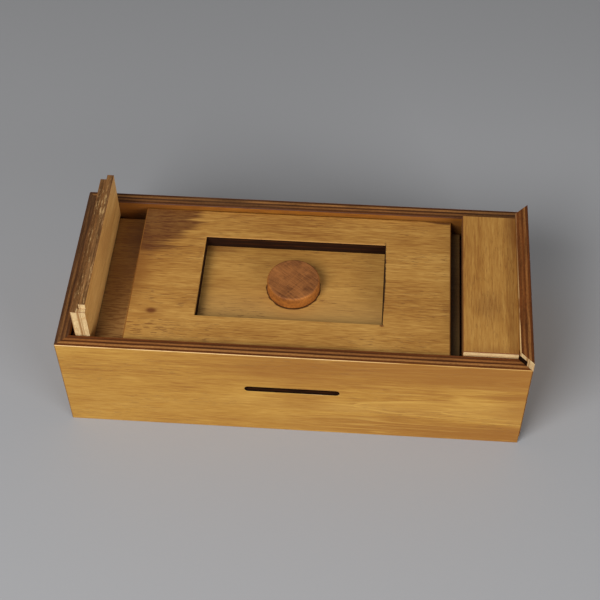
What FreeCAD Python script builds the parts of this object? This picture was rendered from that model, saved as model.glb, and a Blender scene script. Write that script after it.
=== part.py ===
import FreeCAD, Part

import os

import Sketcher

# Wooden puzzle box with a coin slot, drawn half opened, in millimetres.
# +Z is up, +X runs along the box towards its sliding end and -Y is the front with the coin slot.
# The origin is the middle of the footprint, on the surface that the box stands on.

SIZES = {
    # Outer box, of plywood boards mitred at the four upright corners
    "box_length": 180,
    "box_width": 79.6,
    "box_height": 49.2,
    "wall": 5.1,
    # Bottom board, let into a groove of the three fixed walls
    "bottom_thickness": 3.6,
    "bottom_recess": 2.5,
    "bottom_tongue": 2.5,
    "bottom_groove_play": 0.1,
    # Coin slot in the front wall
    "coin_slot_length": 37,
    "coin_slot_height": 3.1,
    "coin_slot_level": 27.4,
    # Lid boards and the two strips beside the lid
    "rim_drop": 2.2,
    "lid_board": 5.7,
    "lid_side_gap": 0.5,
    "lid_end_play": 2.4,
    "strip_width": 21.6,
    "end_strip_width": 21,
    "tongue_length": 2.6,
    "tongue_thickness": 2.6,
    "tongue_play": 0.15,
    "tongue_notch": 1.8,
    # Window of the lid frame, and the panel under it
    "window_length": 72.2,
    "window_width": 40.4,
    "panel_thickness": 4.7,
    "panel_side_gap": 1.8,
    "panel_reach": 19.3,
    "panel_right_reach": 4,
    "panel_stop_gap": 0.4,
    # Rails that carry the lid
    "rail_width": 6,
    "rail_height": 5.4,
    "rest_gap": 0.1,
    # Knob and its screw
    "knob_diameter": 20.8,
    "knob_height": 5.7,
    "knob_round": 0.9,
    "knob_shift_x": 0.6,
    "knob_shift_y": 0.1,
    "screw_diameter": 3,
    "screw_head_diameter": 6,
    "screw_depth_in_knob": 4,
    "screw_tip": 1.2,
    "screw_play": 0.05,
    # Splines in the mitres, of which the right pair guide and stop the end panel
    "spline_thickness": 1.6,
    "spline_reach": 2,
    "spline_inset": 2.4,
    "spline_base": 9,
    "spline_length": 26,
    "spline_play": 0.15,
    "slide_gap": 0.3,
    # How far the end panel stands above its closed place, and how far it can go in all
    "panel_raise": 4.4,
    "panel_travel": 6.3,
    # Where the loose lock strip stands, measured from the left wall
    "stand_gap": 2.2,
}

# Places worked out from the sizes, as text for the expressions of the document
OUT_X = "(Sizes.box_length / 2)"
OUT_Y = "(Sizes.box_width / 2)"
IN_X = "(Sizes.box_length / 2 - Sizes.wall)"
IN_Y = "(Sizes.box_width / 2 - Sizes.wall)"
LID_TOP = "(Sizes.box_height - Sizes.rim_drop)"
PANEL_TOP = f"({LID_TOP} - Sizes.lid_board)"
PANEL_BOTTOM = f"({PANEL_TOP} - Sizes.panel_thickness)"
RAIL_TOP = f"({PANEL_BOTTOM} - Sizes.rest_gap)"
END_STRIP_LEFT = f"({IN_X} - Sizes.end_strip_width)"
FRAME_LENGTH = f"({IN_X} - Sizes.strip_width - Sizes.lid_end_play + {END_STRIP_LEFT})"
LID_WIDTH = f"(2 * ({IN_Y} - Sizes.lid_side_gap))"
PANEL_WIDTH = f"(2 * ({IN_Y} - Sizes.panel_side_gap))"
# The open lid is pushed left until its panel all but meets the left wall
LID_X = f"(-{IN_X} + Sizes.panel_stop_gap + Sizes.panel_reach + {FRAME_LENGTH} / 2)"
KNOB_X = f"({LID_X} + Sizes.knob_shift_x)"
TONGUE_FLOOR = f"({LID_TOP} - Sizes.tongue_thickness)"

doc = FreeCAD.newDocument("PuzzleBox")


def make_sheet():
    """The driving sizes, one per row, each with its name as the alias of its cell."""
    sheet = doc.addObject("Spreadsheet::Sheet", "Sizes")
    for row, (name, value) in enumerate(SIZES.items(), start=1):
        sheet.set(f"A{row}", name)
        sheet.set(f"B{row}", str(value))
        sheet.setAlias(f"B{row}", name)
    doc.recompute()
    return sheet


sheet = make_sheet()


def number(text):
    """The present value of an expression, to start a sketch near its solution."""
    return float(sheet.evalExpression(text))


def new_body(label):
    body = doc.addObject("PartDesign::Body", label)
    body.Label = label
    return body


def bind(thing, **expressions):
    """Binds properties to expressions; a double underscore in a key stands for a dot."""
    for key, text in expressions.items():
        thing.setExpression(key.replace("__", "."), text)


def new_sketch(body, name, plane, lift=None):
    """A sketch on one of the body's own origin planes, raised along the plane's normal."""
    sketch = body.newObject("Sketcher::SketchObject", f"{body.Label}_{name}")
    support = next(f for f in body.Origin.OriginFeatures if f.Role == plane)
    sketch.AttachmentSupport = [(support, "")]
    sketch.MapMode = "FlatFace"
    if lift:
        sketch.setExpression("AttachmentOffset.Base.z", lift)
    return sketch


def constrain_point(sketch, geometry, point, place):
    """Ties a point of the sketch to a pair of expressions, or to an axis where one is None."""
    kinds = (("DistanceX", -2), ("DistanceY", -1))
    for text, (kind, axis) in zip(place, kinds):
        if text is None:
            sketch.addConstraint(Sketcher.Constraint("PointOnObject", geometry, point, axis))
        else:
            index = sketch.addConstraint(
                Sketcher.Constraint(kind, -1, 1, geometry, point, number(text))
            )
            sketch.setExpression(f"Constraints[{index}]", text)


def draw_loop(sketch, places):
    """A closed outline of straight lines through places, which are pairs of expressions."""
    first = sketch.GeometryCount
    corners = [
        FreeCAD.Vector(*(0 if text is None else number(text) for text in place), 0)
        for place in places
    ]
    count = len(corners)
    for i, corner in enumerate(corners):
        sketch.addGeometry(Part.LineSegment(corner, corners[(i + 1) % count]), False)
    for i in range(count):
        following = first + (i + 1) % count
        sketch.addConstraint(Sketcher.Constraint("Coincident", first + i, 2, following, 1))
    for i, place in enumerate(places):
        constrain_point(sketch, first + i, 1, place)


def rectangle(low, high):
    """The corners of an upright rectangle, for draw_loop."""
    return [low, (high[0], low[1]), high, (low[0], high[1])]


def pad(body, sketch, length, symmetric=False):
    feature = body.newObject("PartDesign::Pad", f"{sketch.Label}_pad")
    feature.Profile = sketch
    feature.setExpression("Length", length)
    if symmetric:
        feature.SideType = "Symmetric"
    return feature


def cut_box(body, name, low, size):
    """Cuts a square-cornered groove or notch out of a body."""
    cut = body.newObject("PartDesign::SubtractiveBox", f"{body.Label}_{name}")
    bind(cut, Length=size[0], Width=size[1], Height=size[2])
    bind(cut, Placement__Base__x=low[0], Placement__Base__y=low[1], Placement__Base__z=low[2])
    return cut


def cut_upright(body, sketch, length):
    """Cuts a sketch of the XY plane upwards out of a body."""
    pocket = body.newObject("PartDesign::Pocket", f"{sketch.Label}_pocket")
    pocket.Profile = sketch
    pocket.Reversed = True
    pocket.setExpression("Length", length)
    return pocket


def cut_bottom_groove(body, low, size):
    """The bottom board's groove in a wall, from its corner and its size in plan."""
    level = "Sizes.bottom_recess - Sizes.bottom_groove_play"
    height = "Sizes.bottom_thickness + 2 * Sizes.bottom_groove_play"
    cut_box(body, "bottom_groove", (*low, level), (*size, height))


def spline_outline(end, side, play="0"):
    """A spline's outline in plan, square across the mitre of a corner, grown by a play.

    end is -1 at the left and 1 at the right; side is -1 at the front and 1 at the back.
    """
    along = f"((Sizes.spline_thickness / 2 + {play}) / sqrt(2))"
    across = f"((Sizes.spline_reach + {play}) / sqrt(2))"
    middle_x = f"({IN_X} + Sizes.spline_inset / sqrt(2))"
    middle_y = f"({IN_Y} + Sizes.spline_inset / sqrt(2))"
    corners = [(1, 1), (-1, 1), (-1, -1), (1, -1)]
    return [
        (
            f"{end} * ({middle_x} + {a} * {along} + {b} * {across})",
            f"{side} * ({middle_y} + {a} * {along} - {b} * {across})",
        )
        for a, b in corners
    ]


def cut_spline_groove(body, end, side, low, length, play="0"):
    sketch = new_sketch(body, f"spline_groove_{end}_{side}".replace("-1", "minus"), "XY_Plane", low)
    draw_loop(sketch, spline_outline(end, side, play))
    cut_upright(body, sketch, length)


def make_spline(label, end, side):
    body = new_body(label)
    sketch = new_sketch(body, "plan", "XY_Plane", "Sizes.spline_base")
    draw_loop(sketch, spline_outline(end, side))
    pad(body, sketch, "Sizes.spline_length")
    return body


def make_long_wall(label, side):
    """The front or back wall, mitred at both ends, with the sliding gap at its right end."""
    body = new_body(label)
    sketch = new_sketch(body, "plan", "XY_Plane")
    draw_loop(
        sketch,
        [
            (f"-{OUT_X}", f"{side} * {OUT_Y}"),
            (f"{OUT_X} - Sizes.slide_gap", f"{side} * {OUT_Y}"),
            (f"{IN_X} - Sizes.slide_gap", f"{side} * {IN_Y}"),
            (f"-{IN_X}", f"{side} * {IN_Y}"),
        ],
    )
    pad(body, sketch, "Sizes.box_height")
    groove_y = f"(-{IN_Y} - Sizes.bottom_tongue)" if side < 0 else IN_Y
    cut_bottom_groove(body, (f"-{OUT_X}", groove_y), ("Sizes.box_length", "Sizes.bottom_tongue"))
    for end in (-1, 1):
        cut_spline_groove(body, end, side, "Sizes.spline_base", "Sizes.spline_length")
    return body


def cut_coin_slot(body):
    """A round-ended slot through the front wall, drawn as two lines and two half circles."""
    sketch = new_sketch(body, "coin_slot", "XZ_Plane")
    radius = "(Sizes.coin_slot_height / 2)"
    reach = f"(Sizes.coin_slot_length / 2 - {radius})"
    low = f"(Sizes.coin_slot_level - {radius})"
    high = f"(Sizes.coin_slot_level + {radius})"
    r, x, z = number(radius), number(reach), number("Sizes.coin_slot_level")
    quarter = FreeCAD.Units.parseQuantity("90 deg").getValueAs("rad").Value
    right = Part.Circle(FreeCAD.Vector(x, z, 0), FreeCAD.Vector(0, 0, 1), r)
    left = Part.Circle(FreeCAD.Vector(-x, z, 0), FreeCAD.Vector(0, 0, 1), r)
    sketch.addGeometry(Part.LineSegment(FreeCAD.Vector(-x, z - r, 0), FreeCAD.Vector(x, z - r, 0)), False)
    sketch.addGeometry(Part.ArcOfCircle(right, -quarter, quarter), False)
    sketch.addGeometry(Part.LineSegment(FreeCAD.Vector(x, z + r, 0), FreeCAD.Vector(-x, z + r, 0)), False)
    sketch.addGeometry(Part.ArcOfCircle(left, quarter, 3 * quarter), False)
    bottom_line, right_arc, top_line, left_arc = range(4)
    for line, arc, line_point, arc_point in (
        (bottom_line, right_arc, 2, 1),
        (top_line, right_arc, 1, 2),
        (top_line, left_arc, 2, 1),
        (bottom_line, left_arc, 1, 2),
    ):
        sketch.addConstraint(
            Sketcher.Constraint("Tangent", line, line_point, arc, arc_point)
        )
    constrain_point(sketch, bottom_line, 1, (f"-{reach}", low))
    constrain_point(sketch, top_line, 1, (reach, high))
    slot = body.newObject("PartDesign::Pocket", "coin_slot")
    slot.Profile = sketch
    slot.SideType = "Symmetric"
    slot.setExpression("Length", "2 * Sizes.box_width")


def make_front_wall():
    body = make_long_wall("front_wall", -1)
    cut_coin_slot(body)
    return body


def draw_end_wall(body, end):
    """The plan of an end wall with its mitres, and the groove for a strip's tongue along it."""
    sketch = new_sketch(body, "plan", "XY_Plane")
    draw_loop(
        sketch,
        [
            (f"{end} * {IN_X}", f"-{IN_Y}"),
            (f"{end} * {OUT_X}", f"-{OUT_Y}"),
            (f"{end} * {OUT_X}", OUT_Y),
            (f"{end} * {IN_X}", IN_Y),
        ],
    )
    pad(body, sketch, "Sizes.box_height")
    depth = "(Sizes.tongue_length + Sizes.tongue_play)"
    cut_box(
        body,
        "tongue_groove",
        (
            IN_X if end > 0 else f"(-{IN_X} - {depth})",
            f"-{OUT_Y}",
            f"{TONGUE_FLOOR} - Sizes.tongue_play",
        ),
        (depth, "Sizes.box_width", "Sizes.tongue_thickness + 2 * Sizes.tongue_play"),
    )


def make_left_wall():
    body = new_body("left_wall")
    draw_end_wall(body, -1)
    groove_x = f"(-{IN_X} - Sizes.bottom_tongue)"
    cut_bottom_groove(body, (groove_x, f"-{OUT_Y}"), ("Sizes.bottom_tongue", "Sizes.box_width"))
    for side in (-1, 1):
        cut_spline_groove(body, -1, side, "Sizes.spline_base", "Sizes.spline_length")
    return body


def make_end_panel():
    """The sliding end, drawn closed and lifted by its placement.

    Its spline grooves are longer than the splines by the travel, so their ends are the stops.
    """
    body = new_body("end_panel")
    draw_end_wall(body, 1)
    for side in (-1, 1):
        cut_spline_groove(
            body,
            1,
            side,
            "Sizes.spline_base - Sizes.panel_travel - Sizes.spline_play",
            "Sizes.spline_length + Sizes.panel_travel + 2 * Sizes.spline_play",
            "Sizes.spline_play",
        )
    bind(body, Placement__Base__z="Sizes.panel_raise")
    return body


def make_strip(label, outline, notch_low, notch_size):
    """A strip with a tongue along one edge, whose front end is notched clear of the mitre."""
    body = new_body(label)
    sketch = new_sketch(body, "section", "XZ_Plane")
    draw_loop(sketch, outline)
    pad(body, sketch, LID_WIDTH, symmetric=True)
    cut_box(body, "tongue_notch", notch_low, notch_size)
    return body


def make_end_strip():
    """The strip glued into the end panel's groove, lying level with the closed lid."""
    tip = f"({IN_X} + Sizes.tongue_length)"
    body = make_strip(
        "end_strip",
        [
            (END_STRIP_LEFT, PANEL_TOP),
            (IN_X, PANEL_TOP),
            (IN_X, TONGUE_FLOOR),
            (tip, TONGUE_FLOOR),
            (tip, LID_TOP),
            (END_STRIP_LEFT, LID_TOP),
        ],
        (IN_X, f"-{LID_WIDTH} / 2", TONGUE_FLOOR),
        ("Sizes.tongue_length", "Sizes.tongue_notch", "Sizes.tongue_thickness"),
    )
    bind(body, Placement__Base__z="Sizes.panel_raise")
    return body


def make_lock_strip():
    """The loose strip, stood on its plain edge on the lid panel with its tongue upwards."""
    left = f"(-{IN_X} + Sizes.stand_gap)"
    right = f"({left} + Sizes.lid_board)"
    shoulder = f"({right} - Sizes.tongue_thickness)"
    foot = f"({PANEL_TOP} + Sizes.rest_gap)"
    top = f"({foot} + Sizes.strip_width)"
    tip = f"({top} + Sizes.tongue_length)"
    return make_strip(
        "lock_strip",
        [(left, foot), (right, foot), (right, tip), (shoulder, tip), (shoulder, top), (left, top)],
        (shoulder, f"-{LID_WIDTH} / 2", top),
        ("Sizes.tongue_thickness", "Sizes.tongue_notch", "Sizes.tongue_length"),
    )


def make_bottom_panel():
    """The bottom board, tongued into three walls and stopped clear of the sliding end."""
    body = new_body("bottom_panel")
    sketch = new_sketch(body, "plan", "XY_Plane", "Sizes.bottom_recess")
    reach = "(Sizes.bottom_tongue - Sizes.bottom_groove_play)"
    draw_loop(
        sketch,
        rectangle(
            (f"-{IN_X} - {reach}", f"-{IN_Y} - {reach}"),
            (f"{IN_X} - Sizes.slide_gap", f"{IN_Y} + {reach}"),
        ),
    )
    pad(body, sketch, "Sizes.bottom_thickness")
    return body


def make_rail(label, side):
    """A batten glued along a long wall, under the lid panel's edge."""
    rail = doc.addObject("Part::Box", label)
    rail.Label = label
    bind(
        rail,
        Length=f"2 * {IN_X} - Sizes.slide_gap",
        Width="Sizes.rail_width",
        Height="Sizes.rail_height",
        Placement__Base__x=f"-{IN_X}",
        Placement__Base__y=f"-{IN_Y}" if side < 0 else f"{IN_Y} - Sizes.rail_width",
        Placement__Base__z=f"{RAIL_TOP} - Sizes.rail_height",
    )
    return rail


def make_lid_frame():
    """The lid's top board, drawn about its own middle, with its window cut through."""
    body = new_body("lid_frame")
    sketch = new_sketch(body, "plan", "XY_Plane", PANEL_TOP)
    for length, width in ((FRAME_LENGTH, LID_WIDTH), ("Sizes.window_length", "Sizes.window_width")):
        draw_loop(
            sketch,
            rectangle((f"-{length} / 2", f"-{width} / 2"), (f"{length} / 2", f"{width} / 2")),
        )
    pad(body, sketch, "Sizes.lid_board")
    bind(body, Placement__Base__x=LID_X)
    return body


def screw_section(play="0"):
    """Half the section of the knob's screw, from its head at the panel's underside to its tip."""
    shank = f"(Sizes.screw_diameter / 2 + {play})"
    head = f"(Sizes.screw_head_diameter / 2 + {play})"
    neck = f"({PANEL_BOTTOM} + ({head} - {shank}))"
    end = f"({PANEL_TOP} + Sizes.screw_depth_in_knob + {play})"
    return [
        (None, PANEL_BOTTOM),
        (head, PANEL_BOTTOM),
        (shank, neck),
        (shank, f"({end} - Sizes.screw_tip)"),
        (None, end),
    ]


def turn(body, sketch, kind):
    """Turns a section about the body's upright axis, to add to it or to cut it."""
    feature = body.newObject(f"PartDesign::{kind}", f"{sketch.Label}_turned")
    feature.Profile = sketch
    feature.ReferenceAxis = (sketch, ["V_Axis"])
    feature.Angle = 360
    return feature


def cut_screw_hole(body):
    sketch = new_sketch(body, "screw_hole", "XZ_Plane")
    draw_loop(sketch, screw_section("Sizes.screw_play"))
    turn(body, sketch, "Groove")


def place_on_knob_axis(body):
    bind(body, Placement__Base__x=KNOB_X, Placement__Base__y="Sizes.knob_shift_y")


def make_lid_panel():
    """The board under the frame, whose two reaches lie under the strips when the box is closed.

    It is drawn about the knob's axis, so that its screw hole is turned about the upright axis.
    """
    body = new_body("lid_panel")
    sketch = new_sketch(body, "plan", "XY_Plane", PANEL_BOTTOM)
    draw_loop(
        sketch,
        rectangle(
            (
                f"-{FRAME_LENGTH} / 2 - Sizes.panel_reach - Sizes.knob_shift_x",
                f"-{PANEL_WIDTH} / 2 - Sizes.knob_shift_y",
            ),
            (
                f"{FRAME_LENGTH} / 2 + Sizes.panel_right_reach - Sizes.knob_shift_x",
                f"{PANEL_WIDTH} / 2 - Sizes.knob_shift_y",
            ),
        ),
    )
    pad(body, sketch, "Sizes.panel_thickness")
    cut_screw_hole(body)
    place_on_knob_axis(body)
    return body


def make_knob():
    """A turned disc with an eased top edge and a blind hole for its screw."""
    body = new_body("knob")
    sketch = new_sketch(body, "plan", "XY_Plane", PANEL_TOP)
    radius = number("Sizes.knob_diameter / 2")
    circle = sketch.addGeometry(
        Part.Circle(FreeCAD.Vector(0, 0, 0), FreeCAD.Vector(0, 0, 1), radius), False
    )
    sketch.addConstraint(Sketcher.Constraint("Coincident", circle, 3, -1, 1))
    index = sketch.addConstraint(Sketcher.Constraint("Diameter", circle, 2 * radius))
    sketch.setExpression(f"Constraints[{index}]", "Sizes.knob_diameter")
    disc = pad(body, sketch, "Sizes.knob_height")
    doc.recompute()
    rim = max(
        (name for name in (f"Edge{i + 1}" for i in range(len(disc.Shape.Edges)))),
        key=lambda name: disc.Shape.getElement(name).CenterOfMass.z,
    )
    easing = body.newObject("PartDesign::Fillet", "knob_easing")
    easing.Base = (disc, [rim])
    easing.setExpression("Radius", "Sizes.knob_round")
    doc.recompute()
    cut_screw_hole(body)
    place_on_knob_axis(body)
    return body


def make_knob_screw():
    body = new_body("knob_screw")
    sketch = new_sketch(body, "section", "XZ_Plane")
    draw_loop(sketch, screw_section())
    turn(body, sketch, "Revolution")
    place_on_knob_axis(body)
    return body


def make_pieces():
    return [
        make_front_wall(),
        make_long_wall("back_wall", 1),
        make_left_wall(),
        make_bottom_panel(),
        make_rail("front_rail", -1),
        make_rail("back_rail", 1),
        make_spline("front_left_spline", -1, -1),
        make_spline("back_left_spline", -1, 1),
        make_spline("front_guide_spline", 1, -1),
        make_spline("back_guide_spline", 1, 1),
        make_end_panel(),
        make_end_strip(),
        make_lock_strip(),
        make_lid_frame(),
        make_lid_panel(),
        make_knob(),
        make_knob_screw(),
    ]


def check(pieces):
    """Stops if anything in the document failed, or a piece is empty or not a valid solid."""
    for thing in doc.Objects:
        if {"Invalid", "Error"} & set(thing.State):
            raise RuntimeError(f"{thing.Label} failed: {thing.State}")
    for piece in pieces:
        shape = piece.Shape
        if shape.isNull() or not shape.isValid() or len(shape.Solids) != 1:
            raise RuntimeError(f"{piece.Label} is not one valid solid")


def main():
    pieces = make_pieces()
    doc.recompute()
    check(pieces)
    os.makedirs("parts", exist_ok=True)
    for piece in pieces:
        piece.Shape.exportStep(f"parts/{piece.Label}.step")
        print(piece.Label, piece.Shape.BoundBox, round(piece.Shape.Volume, 1))


main()
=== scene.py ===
"""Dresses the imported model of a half-opened wooden puzzle box, piece by piece, and sets up its studio."""

import math
from contextlib import contextmanager

import bmesh
import bpy
from bpy.props import FloatProperty, FloatVectorProperty, PointerProperty
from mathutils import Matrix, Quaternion, Vector


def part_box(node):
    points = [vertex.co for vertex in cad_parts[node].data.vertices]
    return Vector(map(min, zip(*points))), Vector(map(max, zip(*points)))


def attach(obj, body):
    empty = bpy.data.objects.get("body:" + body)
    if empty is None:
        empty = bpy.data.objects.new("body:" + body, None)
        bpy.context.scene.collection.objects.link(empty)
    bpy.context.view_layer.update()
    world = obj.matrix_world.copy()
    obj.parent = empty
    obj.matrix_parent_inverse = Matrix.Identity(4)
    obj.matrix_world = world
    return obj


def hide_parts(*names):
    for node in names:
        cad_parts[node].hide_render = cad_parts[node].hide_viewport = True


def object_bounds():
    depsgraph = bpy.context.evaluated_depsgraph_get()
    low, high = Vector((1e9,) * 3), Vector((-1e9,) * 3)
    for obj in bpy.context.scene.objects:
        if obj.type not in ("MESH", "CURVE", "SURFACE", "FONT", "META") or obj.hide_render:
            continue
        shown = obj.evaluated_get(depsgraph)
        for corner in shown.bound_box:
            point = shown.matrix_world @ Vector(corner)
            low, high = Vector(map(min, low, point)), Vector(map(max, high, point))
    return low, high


bl_info = {
    "name": "Wooden Puzzle Box",
    "version": (1, 0, 0),
    "blender": (4, 5, 0),
    "location": "View3D > Sidebar > Puzzle Box",
    "description": "Builds a half-opened puzzle money box of stained plywood, board by board",
    "category": "Object",
}

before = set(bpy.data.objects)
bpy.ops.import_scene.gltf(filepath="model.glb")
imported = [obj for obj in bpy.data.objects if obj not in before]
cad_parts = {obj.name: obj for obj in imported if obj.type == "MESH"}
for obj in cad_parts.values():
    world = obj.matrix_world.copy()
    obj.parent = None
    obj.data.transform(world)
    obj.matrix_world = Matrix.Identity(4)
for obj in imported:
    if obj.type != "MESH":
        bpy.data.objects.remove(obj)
CAD_BOX = [list(corner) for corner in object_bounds()]

MM = 0.001
FRONT, BACK = -1, 1
LEFT, RIGHT = -1, 1
X_AXIS, Y_AXIS, Z_AXIS = 0, 1, 2
OVERSHOOT = 1 * MM
TOUCHING = 0.02 * MM
DOUBLED = 0.005 * MM
SLIVER = 0.002 * MM
SQUARE_ON = 0.99
SLANTED = 0.6
OVER_HALF = 0.51
SHARP_ANGLE = math.radians(25)
SMOOTH_ANGLE = math.radians(40)
EDGE_STEPS = 3
SLOT_END_STEPS = 10
KNOB_ROUND_STEPS = 6
KNOB_FACETS = 128
SCREW_FACETS = 48
THREAD_ROOT = 0.72
NO_SHIFT = (0.0, 0.0, 0.0)


def length(name, description, millimetres):
    return FloatProperty(
        name=name,
        description=description,
        default=millimetres * MM,
        min=0.0,
        precision=5,
        subtype="DISTANCE",
        unit="LENGTH",
    )


def colour(name, description, *levels):
    return FloatVectorProperty(
        name=name,
        description=description,
        default=[level / 255 for level in levels],
        min=0.0,
        max=1.0,
        size=3,
        subtype="COLOR_GAMMA",
    )


class PuzzleBoxSizes(bpy.types.PropertyGroup):
    """Sizes of the joinery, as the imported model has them."""

    wall: length("Wall", "Thickness of the four wall boards", 5.1)
    bottom_groove: length("Bottom groove", "Depth of the groove that holds the bottom board", 2.5)
    bottom_play: length("Bottom play", "Room above and below the bottom board in its groove", 0.1)
    slot_length: length("Coin slot length", "Length of the coin slot, over its round ends", 37.0)
    slot_height: length("Coin slot height", "Height of the coin slot", 3.1)
    slot_level: length("Coin slot level", "Height of the coin slot's middle above the table", 27.4)
    tongue_length: length("Tongue length", "How far the strips' tongues stand out", 2.6)
    tongue_thickness: length("Tongue thickness", "Thickness of the strips' tongues", 2.6)
    tongue_play: length("Tongue play", "Room round a tongue in its groove", 0.15)
    tongue_notch: length("Tongue notch", "How far the tongues stop short of the strips' front ends", 1.8)
    window_length: length("Window length", "Length of the window in the lid frame", 72.2)
    window_width: length("Window width", "Width of the window in the lid frame", 40.4)
    spline_thickness: length("Spline thickness", "Thickness of the splines in the mitres", 1.6)
    spline_reach: length("Spline reach", "How far a spline reaches into each board", 2.0)
    spline_inset: length("Spline inset", "Distance of a spline from the inner corner, along the mitre", 2.4)
    spline_play: length("Spline play", "Room round the splines in the end panel's grooves", 0.15)
    panel_travel: length("End panel travel", "How far the end panel can rise in all", 6.3)
    panel_raise: length("End panel raise", "How far the end panel stands above its closed place", 4.4)
    knob_round: length("Knob rounding", "Radius of the knob's top edge", 0.9)
    knob_foot: length("Knob foot", "Width that is taken off the knob's lower edge", 0.5)
    screw_diameter: length("Screw diameter", "Diameter of the knob screw's shank", 3.0)
    screw_pitch: length("Screw pitch", "Distance from thread to thread of the knob screw", 0.9)
    screw_tip: length("Screw tip", "Length of the knob screw's point", 1.2)
    screw_play: length("Screw play", "Room round the knob screw in its hole", 0.05)
    edge_softening: length("Edge softening", "Width that sandpaper took off the boards' edges", 0.35)
    strip_softening: length("Strip softening", "Width that sandpaper took off strips and lid panel", 0.25)
    rim_softening: length("Rim softening", "Width taken off the rims of the coin slot and the window", 0.3)
    frame_softening: length("Lid edge softening", "Width that wear took off the lid frame's edges", 0.4)
    spline_softening: length("Spline softening", "Width taken off the splines' edges", 0.1)
    front_arris: length("Front arris", "Width that wear took off the front wall's top edge", 0.28)
    corner_easing: length("Corner easing", "Depth that sandpaper took off the glued corners", 0.3)


class PuzzleBoxFinishes(bpy.types.PropertyGroup):
    """Colours of the stains, the bare wood and the screw."""

    wall_light: colour("Wall, light streaks", "Lightest tone of the walls' stain", 200, 154, 72)
    wall_mid: colour("Wall", "Main tone of the walls' stain", 179, 130, 51)
    wall_dark: colour("Wall, dark streaks", "Darkest tone of the walls' stain", 150, 97, 33)
    inside_light: colour("Inner faces, light", "Lightest tone of the walls' inner faces", 162, 106, 38)
    inside_mid: colour("Inner faces", "Main tone of the walls' inner faces", 141, 85, 22)
    inside_dark: colour("Inner faces, dark", "Darkest tone of the walls' inner faces", 112, 64, 22)
    lid_light: colour("Lid, light streaks", "Lightest tone of the lid's stain", 209, 159, 82)
    lid_mid: colour("Lid", "Main tone of the lid's stain", 182, 130, 59)
    lid_dark: colour("Lid, dark streaks", "Darkest tone of the lid's stain", 150, 96, 38)
    # The lock strip's paler stain, also brightened to stand in for fill light on its right face.
    strip_light: colour("Lock strip, light", "Lightest tone of the lock strip's stain", 230, 183, 110)
    strip_mid: colour("Lock strip", "Main tone of the lock strip's stain", 212, 159, 88)
    strip_dark: colour("Lock strip, dark", "Darkest tone of the lock strip's stain", 182, 126, 64)
    heartwood: colour("Heartwood", "Reddish heartwood patch on the lid frame", 98, 52, 20)
    knot: colour("Knot", "Small knots and blotches in the veneer", 112, 60, 22)
    pocket: colour("Pocket", "Lid panel under the lock strip, where the stain pooled", 130, 82, 37)
    fleck: colour("Flecks", "Short dark pores in the stained veneer", 122, 74, 30)
    edge_dark: colour("Edge, dark plies", "End grain of the plies at the stained edges", 84, 43, 14)
    edge_mid: colour("Edge, outer ply", "Face ply at the stained edges", 122, 68, 25)
    edge_light: colour("Edge, light plies", "Long grain of the plies at the stained edges", 184, 129, 70)
    edge_worn: colour("Edge, worn", "Weathered brown of the left and back walls' edges", 94, 65, 40)
    strip_edge: colour("Strip edge", "Weathered brown of the strips' edges", 138, 100, 60)
    # Burnt edges; the same near-black tone also serves as painted shade on the inner faces, on the lid
    # panel and in the grooves.
    charred: colour("Charred edge", "Edges that the saw of the window and the slot burnt", 36, 18, 8)
    # Rubbed-through edges; on the front wall's top edge this bright tone is also a painted highlight.
    worn: colour("Worn edge", "Edges where the stain is rubbed through", 236, 194, 130)
    bare_light: colour("Bare wood", "Unstained ends of the boards", 230, 201, 148)
    bare_line: colour("Bare wood, ply lines", "Darker plies and glue lines at unstained ends", 164, 122, 74)
    inner_light: colour("Inside, light", "Unstained boards inside the box", 214, 180, 128)
    inner_dark: colour("Inside, dark", "Streaks of the unstained boards inside the box", 176, 136, 84)
    knob_light: colour("Knob, light", "Lightest tone of the knob's wood", 172, 108, 54)
    knob_dark: colour("Knob, dark", "Darkest tone of the knob's wood", 110, 63, 28)
    # The knob's side: its turned grain, brightened as well to stand in for the light that falls on the
    # side.
    rim_light: colour("Knob rim, light", "Lightest tone of the knob's side", 188, 115, 44)
    rim_dark: colour("Knob rim, dark", "Darkest tone of the knob's side", 126, 70, 24)
    steel: colour("Screw", "Zinc of the knob's screw", 168, 168, 170)


class PuzzleBoxStudio(bpy.types.PropertyGroup):
    """The floor, the lamps and the camera."""

    floor: colour("Floor", "Plain grey of the floor", 167, 168, 171)
    key_power: FloatProperty(
        name="Key", description="Power of the soft lamp at the left", default=10.2, unit="POWER"
    )
    side_power: FloatProperty(
        name="Side", description="Power of the low lamp at the right", default=6.0, unit="POWER"
    )
    surround: FloatProperty(
        name="Surround", description="Brightness of the pale room all round", default=0.19
    )
    lens: FloatProperty(
        name="Lens", description="Focal length of the camera", default=78.93, unit="CAMERA"
    )


WALL_STAIN = ("wall_light", "wall_mid", "wall_dark")
INSIDE_STAIN = ("inside_light", "inside_mid", "inside_dark")
LID_STAIN = ("lid_light", "lid_mid", "lid_dark")
# The lock strip's tones: its paler stain with painted fill light in their brightness.
STRIP_STAIN_AND_FILL_LIGHT = ("strip_light", "strip_mid", "strip_dark")
RAIL_STAIN = ("inside_mid", "edge_mid", "edge_dark")


def sizes():
    return bpy.context.scene.puzzle_box_sizes


def linear(display):
    """A display colour as the scene-linear colour that a shader takes."""
    levels = [c / 12.92 if c <= 0.04045 else ((c + 0.055) / 1.055) ** 2.4 for c in display]
    return (*levels, 1.0)


def stain(name):
    return linear(getattr(bpy.context.scene.puzzle_box_finishes, name))


def dimmed(tone, share):
    """A tone at a share of its brightness."""
    return [share * level for level in tone[:3]] + [1.0]


# Finishes


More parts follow.
